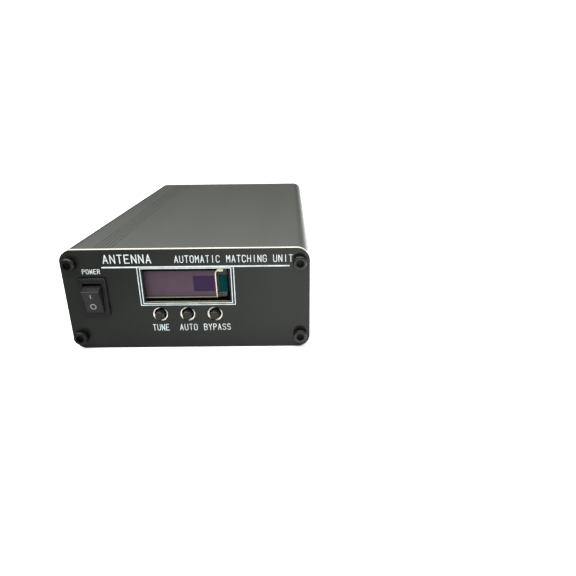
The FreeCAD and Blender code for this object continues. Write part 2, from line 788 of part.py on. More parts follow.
def wound_ring(x, y, ring_radius, section, turn_count):
    """An upright ring core whose axis runs along Y, and the turns wound on it."""
    middle_z = ring_height(ring_radius, section)
    core = ring((x, y, middle_z), ring_radius, section, ALONG["Y"])
    turns = []
    for i in range(turn_count):
        angle = 2 * math.pi * (i + 0.5) / turn_count
        place = (x + ring_radius * math.cos(angle), y, middle_z + ring_radius * math.sin(angle))
        # A ring's own axis is Z; it is turned to follow the core's circle.
        across = Rotation(Vector(0, 0, 1), Vector(-math.sin(angle), 0, math.cos(angle)))
        turns.append(ring(place, loop_radius(section), D.turn_radius, across))
    return core, turns


def inductors():
    """Three small air coils and four wound rings, each with more turns than the last."""
    cores, windings, coils = [], [], []
    places = bank_places()
    for i, y in enumerate(places[3:]):
        core, turns = wound_ring(D.toroid_x, y, D.toroid_ring, D.toroid_section, 10 + 2 * i)
        cores.append(core)
        windings += turns
    node("toroid_cores", group(cores))
    node("toroid_windings", group(windings))
    height = BOARD_TOP + D.coil_radius + D.coil_wire_radius + 0.1
    for i, y in enumerate(places[:3]):
        count = 4 + 2 * i
        for k in range(count):
            x = D.toroid_x + D.coil_pitch * (k - (count - 1) / 2)
            coils.append(ring((x, y, height), D.coil_radius, D.coil_wire_radius, ALONG["X"]))
    node("air_coils", group(coils))


def capacitors():
    discs = []
    lift, leg_radius, leg_spread = 0.6, 0.3, 2.5
    centre_z = BOARD_TOP + D.capacitor_radius + lift
    half = D.capacitor_thickness / 2
    for y in bank_places():
        disc = rod("Y", (D.capacitor_x, centre_z), D.capacitor_radius, y - half, y + half)
        legs = [rod("Z", (D.capacitor_x + dx, y), leg_radius, BOARD_TOP, centre_z)
                for dx in (-leg_spread, leg_spread)]
        discs.append(fuse(disc, *legs))
    node("tuning_capacitors", group(discs))


def bridge():
    """The directional coupler: two small wound rings with the line through them."""
    cores, windings, wires = [], [], []
    line_radius, half_length, strap_half_width, strap = 0.9, 4.5, 0.4, 0.6
    y = D.bridge_y
    centre_z = ring_height(D.bridge_ring, D.bridge_section)
    for side in (-1, 1):
        x = side * D.bridge_x
        core, turns = wound_ring(x, y, D.bridge_ring, D.bridge_section, 12)
        cores.append(core)
        windings += turns
        straps = [box((x - strap_half_width, start, BOARD_TOP),
                      (x + strap_half_width, start + strap, centre_z))
                  for start in (y - half_length, y + half_length - strap)]
        wires.append(fuse(rod("Y", (x, centre_z), line_radius, y - half_length,
                              y + half_length), *straps))
    node("bridge_cores", group(cores))
    node("bridge_windings", group(windings))
    node("bridge_through_wires", group(wires))


def controller():
    """A 28-pin controller chip in its socket."""
    left, right, y = D.controller_left, D.controller_right, D.controller_y
    half_width, slot_half_width, end = 5, 2.2, 2
    socket_top = BOARD_TOP + 4
    socket = cut(box((left, y - half_width, BOARD_TOP), (right, y + half_width, socket_top)),
                 box((left + end, y - slot_half_width, BOARD_TOP - 1),
                     (right - end, y + slot_half_width, socket_top + 1)))
    node("controller_socket", socket)
    edge, chip_half_width, chip_height, notch_radius = 0.4, 3.6, 3.4, 1.2
    chip_base = socket_top + 0.5
    chip_top = chip_base + chip_height
    chip = box((left + edge, y - chip_half_width, chip_base),
               (right - edge, y + chip_half_width, chip_top))
    notch = rod("Z", (left + edge, y), notch_radius, chip_top - 0.9, chip_top + 1)
    pin_inset, row, half_pin, pin_height = 1.2, 3.85, 0.25, 2.2
    pins = []
    for i in range(14):
        x = left + pin_inset + i * D.pin_pitch
        for middle in (y - row, y + row):
            pins.append(box((x - half_pin, middle - half_pin, socket_top),
                            (x + half_pin, middle + half_pin, socket_top + pin_height)))
    node("controller_chip", fuse(cut(chip, notch), *pins))


def voltage_regulator():
    """An upright three-legged regulator with a drilled tab."""
    x, back = D.regulator_x, D.regulator_back
    half_width, depth, tab = 5, 4.4, 1.3
    body_base, body_top, tab_top = BOARD_TOP + 3, BOARD_TOP + 12, BOARD_TOP + 18
    half_leg, leg_front, leg_back = 0.4, back - 2.4, back - 1.9
    pieces = [box((x - half_width, back - depth, body_base), (x + half_width, back, body_top)),
              box((x - half_width, back - tab, body_top - 1), (x + half_width, back, tab_top))]
    for dx in (-D.pin_pitch, 0, D.pin_pitch):
        pieces.append(box((x + dx - half_leg, leg_front, BOARD_TOP),
                          (x + dx + half_leg, leg_back, body_base + 1)))
    hole = rod("Y", (x, tab_top - 3), D.panel_hole_radius, back - depth, back + 1)
    node("voltage_regulator", cut(fuse(*pieces), hole))


def smoothing_capacitors():
    """Two electrolytic cans, each standing on a rubber bung."""
    bung_radius, lift = 2, 0.2
    node("smoothing_capacitors", group(
        fuse(rod("Z", (D.can_x, y), D.can_radius, BOARD_TOP + lift, BOARD_TOP + D.can_height),
             rod("Z", (D.can_x, y), bung_radius, BOARD_TOP, BOARD_TOP + 1))
        for y in (D.controller_y - 7, D.controller_y + 4)))


def main_board():
    board = box((-D.board_half_width, -D.board_half_length, D.board_rise),
                (D.board_half_width, D.board_half_length, BOARD_TOP))
    back = FRONT_BOARD_FACE + D.board_thickness
    holes = [rod("Z", (x, back + D.pin_pitch / 2), D.leg_hole_radius, D.board_rise - 1,
                 BOARD_TOP + 1) for x in link_pin_places()]
    node("main_board", cut(board, fuse(*holes)))


# ---------------------------------------------------------------- rear connectors

def coaxial_socket(name, x):
    """A square-flange coaxial socket; its thread is drawn at the major diameter.

    The square flange is a plate of its own, pressed onto the barrel's root.
    """
    z = D.socket_z
    flange_face = REAR + D.flange_thickness
    mouth = flange_face + D.socket_reach
    seat = mouth - D.socket_bore_depth
    tail = INNER_REAR - D.socket_tail
    fit = 0.01
    node(name + "_socket_shell", lathe([
        (D.insulator_radius + fit, tail), (D.socket_root_radius, tail),
        (D.socket_root_radius, flange_face), (D.socket_thread_radius, flange_face),
        (D.socket_thread_radius, mouth), (D.socket_bore_radius, mouth),
        (D.socket_bore_radius, seat), (D.insulator_radius + fit, seat)], x, z))
    flange = new_body()
    outline = sketch_on(flange, "XZ_Plane", offset=-flange_face)
    half = D.flange_side / 2
    draw_rectangle(outline, -half, -half, half, half)
    extrude(flange, outline, D.flange_thickness)
    dress(flange, "Fillet", D.flange_corner, lambda e: runs_along(e, Vector(0, 1, 0)))
    holes = sketch_on(flange, "XZ_Plane")
    draw_circle(holes, 0, 0, D.socket_root_radius + fit)
    half_spacing = D.flange_hole_spacing / 2
    for dx in (-1, 1):
        for dz in (-1, 1):
            draw_circle(holes, dx * half_spacing, dz * half_spacing, D.panel_hole_radius)
    cut_through(flange, holes)
    node(name + "_socket_flange", put(flange, x, 0, z))

    insulator_end = tail - D.insulator_tail
    insulator = lathe([
        (D.contact_radius + fit, insulator_end), (D.insulator_radius, insulator_end),
        (D.insulator_radius, seat), (D.contact_radius + fit, seat)], x, z)
    node(name + "_socket_insulator", insulator)
    solder_end = tail - D.contact_tail
    cup_radius, cup_bore_radius, cup_depth = 1.9, 1.2, 2.5
    bore_end = seat - D.contact_bore_depth
    contact = lathe([
        (0, solder_end + cup_depth), (cup_bore_radius, solder_end + cup_depth),
        (cup_bore_radius, solder_end), (cup_radius, solder_end), (cup_radius, insulator_end),
        (D.contact_radius, insulator_end), (D.contact_radius, seat),
        (D.contact_bore_radius, seat), (D.contact_bore_radius, bore_end), (0, bore_end)], x, z)
    node(name + "_socket_contact", contact)


def flange_screw(across, face):
    """A cross-recessed pan head screw."""
    x, z = across
    rim, crown, crown_radius, length = 1.2, 2, 1.7, 7
    recess, half_length, half_width = 1, 1.3, 0.3
    head = fuse(rod("Y", across, D.head_radius, face, face + rim),
                cone("Y", across, D.head_radius, crown_radius, face + rim, face + crown),
                rod("Y", across, D.shank_radius, face - length, face))
    arms = [box((x - dx, face + recess, z - dz), (x + dx, face + crown + 1, z + dz))
            for dx, dz in ((half_length, half_width), (half_width, half_length))]
    return cut(head, fuse(*arms))


def nut_behind_panel(across, flats, thickness, bore_radius):
    """A hexagon nut against the inside of the rear panel."""
    return cut(hexagon("Y", across, flats, INNER_REAR - thickness, INNER_REAR),
               rod("Y", across, bore_radius, INNER_REAR - thickness - 1, INNER_REAR + 1))


def flange_fasteners():
    half_spacing = D.flange_hole_spacing / 2
    places = [(side * D.socket_x + dx * half_spacing, D.socket_z + dz * half_spacing)
              for side in (-1, 1) for dx in (-1, 1) for dz in (-1, 1)]
    face = REAR + D.flange_thickness
    node("socket_flange_screws", group(flange_screw(across, face) for across in places))
    node("socket_flange_nuts", group(
        nut_behind_panel(across, D.nut_flats, D.nut_thickness, D.thread_radius)
        for across in places))


# The slot for the sleeve contact, from the jack's axis: left, bottom, right and top.
SLEEVE_SLOT = (2.9, -1, 3.6, 1)
SLEEVE_THICKNESS = 0.4


def supply_jack():
    """A panel jack for a 5.5 mm barrel plug, with a 2.1 mm centre pin."""
    across = (D.jack_x, D.jack_z)
    mouth = REAR + D.jack_flange_thickness
    end = REAR - D.jack_depth
    pin_hole, bore_end, edge, lead_in = D.jack_pin_radius + 0.05, end + 2.5, 0.4, 0.3
    body = lathe([
        (pin_hole, end), (D.jack_radius, end), (D.jack_radius, REAR),
        (D.jack_flange_radius, REAR), (D.jack_flange_radius, mouth - edge),
        (D.jack_flange_radius - edge, mouth), (D.jack_bore_radius + lead_in, mouth),
        (D.jack_bore_radius, mouth - lead_in), (D.jack_bore_radius, bore_end),
        (pin_hole, bore_end)], *across)
    slot = draw_rectangle(sketch_on(body, "XZ_Plane"), *SLEEVE_SLOT)
    extrude(body, slot, REAR - 2, kind="Pocket")
    node("dc_jack_body", body)
    left, bottom, right, top = SLEEVE_SLOT
    strip = box((D.jack_x + left, end - D.jack_tail, D.jack_z + bottom),
                (D.jack_x + left + SLEEVE_THICKNESS, REAR - 2.2, D.jack_z + top))
    node("dc_jack_sleeve_contact", strip)
    node("dc_jack_nut", nut_behind_panel(across, D.jack_nut_flats, 2.5, D.jack_radius + 0.02))
    tip = mouth - 1.6
    pin = fuse(rod("Y", across, D.jack_pin_radius, end - D.jack_tail, tip),
               ball((D.jack_x, tip, D.jack_z), D.jack_pin_radius))
    node("dc_jack_pin", pin)


def ground_socket():
    """A 4 mm socket for an earth or counterpoise lead."""
    across = (D.ground_x, D.jack_z)
    barrel_end, outer = REAR - 9, REAR + 3
    edge, lead_in, fit = 0.5, 0.3, 0.01
    bore_radius = D.ground_tube_radius + fit
    body = lathe([
        (bore_radius, barrel_end), (D.ground_barrel_radius, barrel_end),
        (D.ground_barrel_radius, REAR), (D.ground_collar_radius, REAR),
        (D.ground_collar_radius, outer - edge), (D.ground_collar_radius - edge, outer),
        (bore_radius + lead_in, outer), (bore_radius, outer - lead_in)], *across)
    node("ground_socket_body", body)
    tube_mouth = REAR + D.ground_reach
    bore_end = tube_mouth - D.ground_bore_depth
    tag_radius, shoulder = 1.2, bore_end - 1.5
    tube = lathe([
        (0, bore_end - D.ground_tail), (tag_radius, bore_end - D.ground_tail),
        (tag_radius, shoulder), (D.ground_tube_radius, shoulder),
        (D.ground_tube_radius, tube_mouth), (D.ground_bore_radius, tube_mouth),
        (D.ground_bore_radius, bore_end), (0, bore_end)], *across)
    node("ground_socket_contact", tube)
    node("ground_socket_nut", nut_behind_panel(across, D.ground_nut_flats, 2.2,
                                               D.ground_barrel_radius + 0.02))


# ---------------------------------------------------------------- wiring

def wire(points, radius):
    """A round wire along straight runs that tangent arcs join."""
    places = [Vector(*(as_size(c).number for c in point)) for point in points]
    edges = []
    start = places[0]
    for before, corner, after in zip(places, places[1:], places[2:]):
        back, ahead = before - corner, after - corner
        turn = math.pi - back.getAngle(ahead)
        reach = 0.45 * min(back.Length, ahead.Length)
        bend = reach / math.tan(turn / 2)
        back.normalize()
        ahead.normalize()
        entry, leave = corner + back * reach, corner + ahead * reach
        middle_line = (back + ahead).normalize()
        middle = corner + middle_line * (bend / math.cos(turn / 2) - bend)
        edges += [Part.LineSegment(start, entry).toShape(),
                  Part.Arc(entry, middle, leave).toShape()]
        start = leave
    edges.append(Part.LineSegment(start, places[-1]).toShape())
    path = Part.Wire(edges)
    radius = as_size(radius).number
    direction = (places[1] - places[0]).normalize()
    section = Part.Wire([Part.makeCircle(radius, places[0], direction)])
    feature = doc.addObject("Part::Feature", "Wire")
    feature.Shape = path.makePipeShell([section], True, True)
    expected = math.pi * radius ** 2 * path.Length
    if abs(feature.Shape.Volume / expected - 1) > 0.02:
        raise ValueError("a wire's volume does not match its length")
    return feature


def wiring():
    """Leads that drop to the main board; each one's last run stands on it."""
    lead = 4    # how far a wire runs on before it turns down
    jack_end = REAR - D.jack_depth - D.jack_tail
    switch_end = FRONT + D.switch_depth + D.terminal_length
    supply = [wire([(D.jack_x, jack_end, D.jack_z), (D.jack_x, jack_end - lead, D.jack_z),
                    (D.jack_x - 10, jack_end - lead, D.jack_z - 4),
                    (D.jack_x - 10, jack_end - lead, BOARD_TOP)], D.wire_radius)]
    for drop, x in ((0, D.switch_x - 4), (D.contact_drop, D.switch_x + 4)):
        z = D.switch_z - drop
        supply.append(wire([(D.switch_x, switch_end, z), (D.switch_x, switch_end + lead, z),
                            (x, switch_end + lead + 1, z - 2),
                            (x, switch_end + lead + 1, BOARD_TOP)], D.wire_radius))
    node("supply_wires", group(supply))
    sleeve_x = D.jack_x + SLEEVE_SLOT[0] + SLEEVE_THICKNESS / 2
    ground_end = REAR + D.ground_reach - D.ground_bore_depth - D.ground_tail
    returns = [wire([(sleeve_x, jack_end, D.jack_z), (sleeve_x, jack_end - lead, D.jack_z),
                     (sleeve_x + 3, jack_end - lead - 1, D.jack_z - 4),
                     (sleeve_x + 3, jack_end - lead - 1, BOARD_TOP)], D.wire_radius),
               wire([(D.ground_x, ground_end, D.jack_z),
                     (D.ground_x, ground_end - lead, D.jack_z),
                     (D.ground_x + 9, ground_end - lead, D.jack_z - 3),
                     (D.ground_x + 9, ground_end - lead, BOARD_TOP)], D.wire_radius)]
    node("return_wires", group(returns))
    contact_end = INNER_REAR - D.socket_tail - D.contact_tail
    radio = []
    for x in (-D.socket_x, D.socket_x):
        radio.append(wire([(x, contact_end + 2, D.socket_z), (x, contact_end - lead, D.socket_z),
                           (x, contact_end - lead, BOARD_TOP)], D.rf_wire_radius))
    node("rf_wires", group(radio))


# ---------------------------------------------------------------- assembly

def build():
    case()
    power_switch()
    display()
    front_board()
    push_buttons()
    main_board()
    relays()
    inductors()
    capacitors()
    bridge()
    controller()
    voltage_regulator()
    smoothing_capacitors()
    coaxial_socket("antenna", D.socket_x)
    coaxial_socket("transmitter", -D.socket_x)
    flange_fasteners()
    supply_jack()
    ground_socket()
    wiring()
    doc.recompute()


def check_and_write():
    for thing in doc.Objects:
        if "Invalid" in thing.State or "Error" in thing.State:
            raise ValueError("%s (%s) failed" % (thing.Name, thing.Label))
    for thing in nodes:
        shape = thing.Shape
        if shape.isNull() or not shape.isValid() or not shape.Solids:
            raise ValueError("%s has no valid solid" % thing.Label)
    os.makedirs("parts", exist_ok=True)
    for thing in nodes:
        thing.Shape.exportStep("parts/%s.step" % thing.Label)
    print("%d sub-parts written" % len(nodes))


build()
check_and_write()
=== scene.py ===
import math

import bmesh
import bpy
from mathutils import Matrix, Vector


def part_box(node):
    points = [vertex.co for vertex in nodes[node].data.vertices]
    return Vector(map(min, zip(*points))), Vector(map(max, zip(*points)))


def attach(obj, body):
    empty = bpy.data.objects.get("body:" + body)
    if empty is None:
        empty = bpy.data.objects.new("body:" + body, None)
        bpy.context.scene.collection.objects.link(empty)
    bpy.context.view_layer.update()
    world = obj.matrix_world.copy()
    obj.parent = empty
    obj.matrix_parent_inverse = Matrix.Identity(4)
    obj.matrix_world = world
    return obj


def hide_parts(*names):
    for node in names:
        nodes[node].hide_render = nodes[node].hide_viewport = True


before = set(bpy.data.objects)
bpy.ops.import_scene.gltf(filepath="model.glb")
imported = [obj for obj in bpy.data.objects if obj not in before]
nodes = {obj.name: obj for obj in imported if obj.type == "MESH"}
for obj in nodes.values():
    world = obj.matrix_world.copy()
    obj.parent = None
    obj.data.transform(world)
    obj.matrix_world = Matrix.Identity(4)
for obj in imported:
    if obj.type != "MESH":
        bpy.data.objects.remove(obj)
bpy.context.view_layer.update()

MM = 0.001
BODY = "case"

# Places that the pieces are built on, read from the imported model.
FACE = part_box("front_panel")[0].y
REAR_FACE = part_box("rear_panel")[1].y
GLASS_LOW, GLASS_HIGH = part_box("display_glass")

# The openings in the front panel, in millimetres: left, right, bottom and top.
WINDOW = (-17, 17, 20, 34)
BUTTON_HOLES = (-15, 15, 11, 18.5)

# The camera, in millimetres from the middle of the panel's lower edge, and its turn in degrees.
CAMERA_PLACE = (40.78, -174.39, 93.45)
CAMERA_PITCH, CAMERA_YAW, CAMERA_ROLL = 21.247, -0.292, 0.711
CAMERA_LENS = 29.645
SENSOR_WIDTH = 36

# The soft overhead light, in metres and watts.
LIGHT_PLACE = (-0.1, -0.25, 0.8)
LIGHT_TARGET = (-0.05, -0.1, 0)
LIGHT_SIZE = (1.6, 1.2)
LIGHT_WATTS = 20

# The room's brightness seen directly. Mirrored in the object it runs from a first value to a
# second one, while the height, x or y of a direction runs from a third value to a fourth.
ROOM_DIRECT = 1.06
ROOM_BY_HEIGHT = (0.0, 1.1, 0.19, 0.39)
ROOM_BY_SIDE = (0.0, 0.7, 0.12, 0.4)
ROOM_BY_DEPTH = (0.25, 1.0, -0.75, -0.1)

# The floor's colour seen directly, and its darkest colour as mirrored in the object, a painted
# shade.
FLOOR_TONE = (0.97, 0.97, 0.97)
FLOOR_PAINTED_SHADE = (0.15, 0.15, 0.15)


class Nodes:
    """A node tree, with short calls for the nodes that most finishes share."""

    def __init__(self, tree):
        self.tree = tree

    def add(self, kind, **values):
        node = self.tree.nodes.new("ShaderNode" + kind)
        for name, value in values.items():
            setattr(node, name, value)
        return node

    def link(self, output, target):
        self.tree.links.new(output, target)

    def axes(self, space="Object"):
        """The three outputs X, Y and Z of the coordinates."""
        parts = self.add("SeparateXYZ")
        self.link(self.add("TexCoord").outputs[space], parts.inputs["Vector"])
        return parts.outputs

    def span(self, value, low, high, start=0.0, end=1.0):
        """Map a value that runs from start to end onto low to high."""
        ramp = self.add("MapRange")
        for name, number in zip(("From Min", "From Max", "To Min", "To Max"),
                                (start, end, low, high)):
            ramp.inputs[name].default_value = number
        self.link(value, ramp.inputs["Value"])
        return ramp.outputs["Result"]

    def maths(self, operation, *values):
        node = self.add("Math", operation=operation)
        for value, socket in zip(values, node.inputs):
            self.link(value, socket)
        return node.outputs["Value"]

    def times(self, *values):
        product = values[0]
        for value in values[1:]:
            product = self.maths("MULTIPLY", product, value)
        return product


# ---------------------------------------------------------------- scene

def look_camera():
    """The camera stands in front of the right-hand buttons and looks down at the case."""
    data = bpy.data.cameras.new("camera")
    camera = bpy.data.objects.new("camera", data)
    bpy.context.scene.collection.objects.link(camera)
    bpy.context.scene.camera = camera
    data.sensor_width = SENSOR_WIDTH
    data.lens = CAMERA_LENS
    data.clip_start = 0.01
    place = Vector(CAMERA_PLACE) * MM + Vector((0, FACE, 0))
    pitch, yaw, roll = (math.radians(a) for a in (CAMERA_PITCH, CAMERA_YAW, CAMERA_ROLL))
    turn = (Matrix.Rotation(-yaw, 4, "Z") @ Matrix.Rotation(math.pi / 2 - pitch, 4, "X")
            @ Matrix.Rotation(-roll, 4, "Z"))
    camera.matrix_world = Matrix.Translation(place) @ turn


def soft_light():
    """One large rectangle overhead, aimed at the case's front left corner."""
    data = bpy.data.lights.new("overhead", "AREA")
    data.shape = "RECTANGLE"
    data.size, data.size_y = LIGHT_SIZE
    data.energy = LIGHT_WATTS
    light = bpy.data.objects.new("overhead", data)
    bpy.context.scene.collection.objects.link(light)
    light.location = LIGHT_PLACE
    aim = Vector(LIGHT_TARGET) - Vector(LIGHT_PLACE)
    light.rotation_euler = aim.to_track_quat("-Z", "Y").to_euler()


def studio():
    """A white room, a pale floor and one soft overhead light.

    Mirrored in the object, the room is dimmer near the horizon and behind the camera.
    """
    world = bpy.data.worlds.new("studio")
    bpy.context.scene.world = world
    world.use_nodes = True
    room = Nodes(world.node_tree)
    background = room.tree.nodes["Background"]
    background.inputs["Color"].default_value = (1, 1, 1, 1)
    axes = room.axes("Generated")
    height = room.span(axes["Z"], *ROOM_BY_HEIGHT)
    aside = room.span(axes["X"], *ROOM_BY_SIDE)
    behind = room.span(axes["Y"], *ROOM_BY_DEPTH)
    direct = room.span(room.add("LightPath").outputs["Is Glossy Ray"], ROOM_DIRECT, 0)
    mirrored = room.times(room.maths("MAXIMUM", height, aside), behind)
    room.link(room.maths("MAXIMUM", mirrored, direct), background.inputs["Strength"])
    bpy.context.scene.view_settings.view_transform = "Standard"
    soft_light()

    bpy.ops.mesh.primitive_plane_add(size=60, location=(0, 0, -0.0001))
    floor = bpy.context.object
    floor.name = "floor"
    pale = Look("pale_floor", FLOOR_TONE, 0.9)
    # Mirrored, the floor carries painted shade: darkest on the object's left and plain on its
    # right.
    left = pale.span(pale.axes()["X"], 1, 0, -70 * MM, 80 * MM)
    mirrored = pale.times(pale.add("LightPath").outputs["Is Glossy Ray"], left)
    pale.colour(pale.tint(mirrored, FLOOR_TONE, FLOOR_PAINTED_SHADE))
    floor.data.materials.append(pale.material)


# ---------------------------------------------------------------- materials

class Look(Nodes):
    """A surface material, with short calls for its patterns."""

    def __init__(self, name, colour, roughness, metallic=0.0, **sockets):
        self.material = bpy.data.materials.new(name)
        self.material.use_nodes = True
        super().__init__(self.material.node_tree)
        self.shader = self.tree.nodes["Principled BSDF"]
        self.shader.inputs["Base Color"].default_value = (*colour, 1)
        self.shader.inputs["Roughness"].default_value = roughness
        self.shader.inputs["Metallic"].default_value = metallic
        for socket, value in sockets.items():
            self.shader.inputs[socket.replace("_", " ")].default_value = value
        self.bumps = None

    def where(self, stretch=(1, 1, 1)):
        """Object coordinates, scaled so that a pattern can be drawn out along an axis."""
        coordinates = self.add("TexCoord")
        mapping = self.add("Mapping")
        mapping.inputs["Scale"].default_value = stretch
        self.link(coordinates.outputs["Object"], mapping.inputs["Vector"])
        return mapping.outputs["Vector"]

    def noise(self, size, detail=2.0, stretch=(1, 1, 1)):
        """Noise whose grains are about `size` metres across."""
        noise = self.add("TexNoise")
        noise.inputs["Scale"].default_value = 1 / size
        noise.inputs["Detail"].default_value = detail
        self.link(self.where(stretch), noise.inputs["Vector"])
        return noise.outputs["Fac"]

    def inside(self, left, right, bottom, top, soft=0.1 * MM):
        """1 inside an upright rectangle and 0 outside it, with slightly soft edges."""
        axes = self.axes()
        sides = (("X", left, 1), ("X", right, -1), ("Z", bottom, 1), ("Z", top, -1))
        return self.times(*(self.span(axes[axis], 0, 1, edge - sign * soft, edge + sign * soft)
                            for axis, edge, sign in sides))

    def tint(self, factor, first, second):
        """Blend two colours; either may be a plain colour or another node's output."""
        mix = self.add("Mix", data_type="RGBA")
        colours = [s for s in mix.inputs if s.type == "RGBA"]
        for socket, colour in zip(colours, (first, second)):
            if isinstance(colour, tuple):
                socket.default_value = (*colour, 1)
            else:
                self.link(colour, socket)
        self.link(factor, mix.inputs["Factor"])
        return next(s for s in mix.outputs if s.type == "RGBA")

    def colour(self, output):
        self.link(output, self.shader.inputs["Base Color"])

    def rough(self, output):
        self.link(output, self.shader.inputs["Roughness"])

    def bump(self, height, depth, strength=1.0):
        """Raise the surface by up to `depth` metres where height is 1."""
        bump = self.add("Bump")
        bump.inputs["Distance"].default_value = depth
        bump.inputs["Strength"].default_value = strength
        self.link(height, bump.inputs["Height"])
        if self.bumps:
            self.link(self.bumps, bump.inputs["Normal"])
        self.bumps = bump.outputs["Normal"]
        self.link(self.bumps, self.shader.inputs["Normal"])


def anodised(name, dark, light, roughness, **sockets):
    """Bead-blasted, black anodised aluminium with faint streaks along the extrusion."""
    look = Look(name, dark, roughness, **sockets)
    blotch = look.noise(0.02, 3, (1, 0.25, 1))
    look.colour(look.tint(look.span(blotch, 0, 1, 0.3, 0.7), dark, light))
    streak = look.noise(0.0012, 2, (1, 0.02, 1))
    grain = look.noise(0.00012, 2)
    look.rough(look.span(streak, roughness - 0.008, roughness + 0.008, 0.3, 0.7))
    look.bump(grain, 0.000002, 0.5)
    return look


# The bright sides of a countersink are a painted highlight; this angle turns them.
PAINTED_GLINT_TURN = math.radians(22)     # how far the bright sides of a countersink are turned


def panel_finish():
    """Black anodising; the edges and the window sill are bare, and the button holes' rims are
    bare only on two opposite sides, as a painted highlight.
    """
    rough = 0.13
    look = anodised("panel_anodised", (0.0075, 0.0089, 0.0070), (0.0095, 0.0110, 0.0089), rough,
                    Specular_IOR_Level=0.27)
    black = look.shader.inputs["Base Color"].links[0].from_socket
    surface = look.add("NewGeometry")
    normal = look.add("SeparateXYZ")
    look.link(surface.outputs["True Normal"], normal.inputs["Vector"])
    place = look.axes()

    def size(output):
        return look.maths("ABSOLUTE", output)

    def depth(start, end):
        """1 between two depths behind the front face."""
        soft = 0.05 * MM
        return look.times(look.span(place["Y"], 0, 1, FACE + start - soft, FACE + start + soft),
                          look.span(place["Y"], 1, 0, FACE + end - soft, FACE + end + soft))

    edge = look.span(size(normal.outputs["Y"]), 1, 0, 0.9, 0.95)
    # The arris of each panel keeps its black; only the edge behind it shows bare metal.
    inward = look.span(size(place["Y"]), 1, 0, -FACE - 0.55 * MM, -FACE - 0.45 * MM)
    side, slack, sharp = 0.3 * MM, 0.1 * MM, 0.02 * MM
    left, right, bottom, top = (number * MM for number in WINDOW)
    lowest = (BUTTON_HOLES[2] - 2) * MM
    openings = look.inside(left - side, right + side, lowest, top + slack, sharp)
    rim = look.times(edge, inward, look.span(openings, 1, 0))
    ledge = look.inside(left - side, right + side, bottom - slack, bottom + slack, sharp)
    sill = look.times(edge, depth(0.6 * MM, 1.25 * MM), ledge)
    # A button hole's countersink has a painted highlight of bare metal at two opposite sides and
    # is dull between them.
    across = look.add("VectorMath", operation="DOT_PRODUCT")
    look.link(surface.outputs["True Normal"], across.inputs[0])
    across.inputs[1].default_value = (math.cos(PAINTED_GLINT_TURN), 0, -math.sin(PAINTED_GLINT_TURN))
    painted_glint = look.span(size(across.outputs["Value"]), 0, 1, 0.2, 0.5)
    hole = look.times(edge, painted_glint, depth(-1 * MM, 0.75 * MM),
                      look.inside(*(number * MM for number in BUTTON_HOLES), sharp))
    # Bare metal: the real bare edges and sill, plus the painted highlights in the countersinks.
    bare = rim
    for other in (sill, hole):
        bare = look.maths("MAXIMUM", bare, other)
    milled = look.noise(0.0004, 2, (1, 0.1, 1))
    metal_tone = look.tint(sill, (0.88, 0.85, 0.71), (0.24, 0.235, 0.15))
    look.colour(look.tint(bare, black, metal_tone))
    look.link(look.span(rim, 0, 0.5), look.shader.inputs["Metallic"])
    mix = look.add("Mix", data_type="FLOAT")
    look.link(bare, mix.inputs["Factor"])
    mix.inputs["A"].default_value = rough
    look.link(look.span(milled, 0.25, 0.4, 0.3, 0.7), mix.inputs["B"])
    look.rough(mix.outputs["Result"])
    return look


def moulded(name, colour, roughness, grain=0.00025, depth=0.00001, **sockets):
    """Injection-moulded plastic with a fine spark-eroded grain."""
    look = Look(name, colour, roughness, **sockets)
    lighter = tuple(c * 1.35 + 0.002 for c in colour)
    look.colour(look.tint(look.span(look.noise(0.004, 3), 0, 1, 0.35, 0.65), colour, lighter))
    fine = look.noise(grain, 2)
    look.rough(look.span(fine, roughness - 0.06, roughness + 0.08, 0.3, 0.7))
    look.bump(fine, depth, 0.6)
    return look


def metal(name, colour, roughness, grain):
    """Plated or turned metal with faint marks and a slightly uneven tone."""
    look = Look(name, colour, roughness, metallic=1.0)
    darker = tuple(c * 0.8 for c in colour)
    look.colour(look.tint(look.span(look.noise(0.003, 4), 0, 1, 0.3, 0.7), darker, colour))
    marks = look.noise(grain, 3)
    look.rough(look.span(marks, roughness * 0.75, roughness * 1.3, 0.3, 0.7))
    look.bump(marks, 0.000004, 0.5)
    return look


def circuit_board(name, mask, copper):
    """Solder mask with the tracks under it showing a little lighter."""
    look = Look(name, mask, 0.35)
    tracks = look.add("TexVoronoi", distance="MANHATTAN", feature="DISTANCE_TO_EDGE")
    tracks.inputs["Scale"].default_value = 400
    look.link(look.where(), tracks.inputs["Vector"])
    lines = look.span(tracks.outputs["Distance"], 1, 0, 0.06, 0.1)
    look.colour(look.tint(lines, mask, copper))
    look.bump(lines, 0.00003, 0.5)
    return look


def display_glass():
    """The sealed display: a dull mauve glass, with its driver chip showing violet through it."""
    look = Look("display_glass", (0.06, 0.04, 0.05), 0.12, Specular_IOR_Level=0.15)
    left, right = GLASS_LOW.x, GLASS_HIGH.x
    bottom, top = GLASS_LOW.z, GLASS_HIGH.z
    haze = look.span(look.noise(3 * MM, 2), 0, 1, 0.3, 0.7)
    mauve = look.tint(haze, (0.054, 0.034, 0.049), (0.060, 0.038, 0.055))
    picture = look.inside(left + 1.0 * MM, right - 0.6 * MM, bottom + 1.1 * MM, top - 0.3 * MM)
    colour = look.tint(picture, (0.036, 0.030, 0.031), mauve)
    chip = look.inside(2.0 * MM, 10.6 * MM, 23.4 * MM, 30.0 * MM, 0.2 * MM)
    colour = look.tint(chip, colour, (0.020, 0.008, 0.035))
    rim = look.inside(left, right, bottom - MM, bottom + 0.45 * MM, 0.05 * MM)
    look.colour(look.tint(rim, colour, (0.21, 0.195, 0.155)))
    look.rough(look.span(haze, 0.10, 0.16))
    return look


